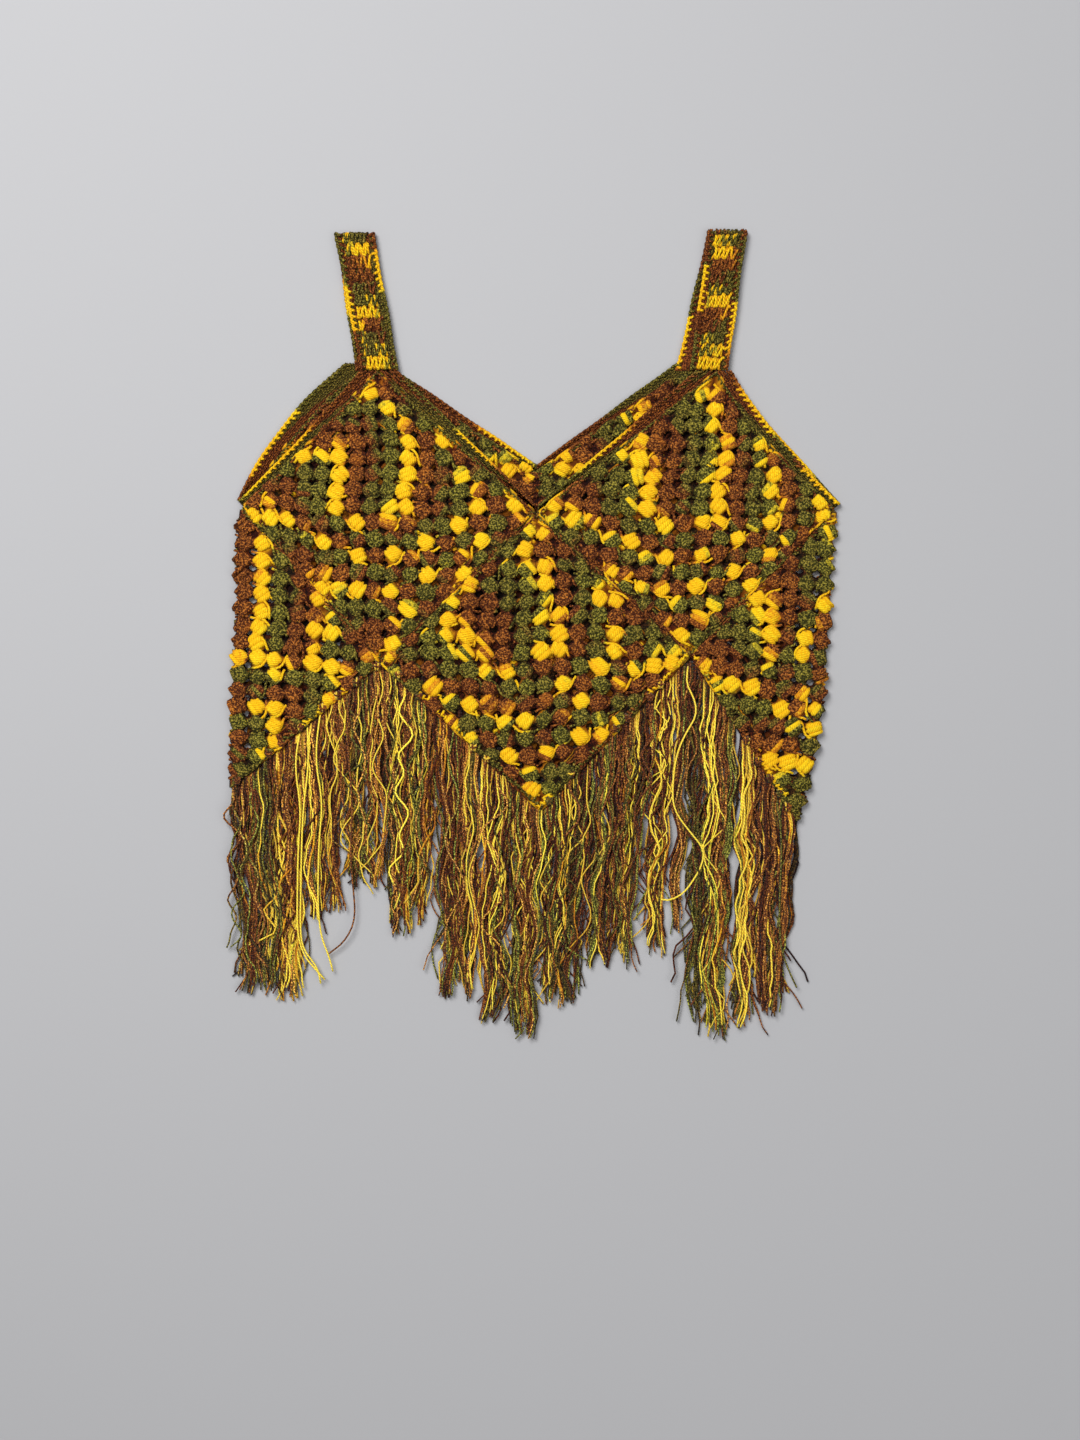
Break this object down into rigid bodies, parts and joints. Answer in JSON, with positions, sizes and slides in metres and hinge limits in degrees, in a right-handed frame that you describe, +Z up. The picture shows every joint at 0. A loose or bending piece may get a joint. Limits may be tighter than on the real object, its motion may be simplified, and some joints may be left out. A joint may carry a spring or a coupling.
{
  "type": "crochet top",
  "caption": "Sleeveless crochet crop top of granny squares with shoulder straps, a V neck, a zigzag hem and a long fringe, laid flat with its front up.",
  "frame": {"origin": "middle of the box that holds the whole, on the surface it lies on", "axes": "+Z up out of the garment's front, +Y from the hem to the straps, +X to the right of someone looking down on the front"},
  "size_m": [0.4548, 0.6052, 0.008],
  "materials": {
    "granny_yarn": "space-dyed yarn in yellow, orange, rust brown and olive green, matt, worked in clusters",
    "edging_yarn": "the same yarn in a dense edging row",
    "strap_yarn": "the same yarn in rows of posts",
    "fringe_yarn": "the same yarn in loose cut lengths"
  },
  "bodies": {
    "root": {"front_square_left": "granny_yarn", "front_square_right": "granny_yarn", "front_square_centre": "granny_yarn", "back_square_left": "granny_yarn", "back_square_right": "granny_yarn", "back_square_centre": "granny_yarn", "side_square_left": "granny_yarn", "side_square_right": "granny_yarn", "strap_left": "strap_yarn", "strap_right": "strap_yarn", "neck_edge_front_left": "edging_yarn", "neck_edge_front_right": "edging_yarn", "neck_edge_back_left": "edging_yarn", "neck_edge_back_right": "edging_yarn", "armhole_edge_front_left": "edging_yarn", "armhole_edge_front_right": "edging_yarn", "armhole_edge_back_left": "edging_yarn", "armhole_edge_back_right": "edging_yarn", "fringe_front_side_left": "fringe_yarn", "fringe_front_centre_left": "fringe_yarn", "fringe_front_centre_right": "fringe_yarn", "fringe_front_side_right": "fringe_yarn", "fringe_back_side_left": "fringe_yarn", "fringe_back_centre_left": "fringe_yarn", "fringe_back_centre_right": "fringe_yarn", "fringe_back_side_right": "fringe_yarn"}
  },
  "joints": []
}
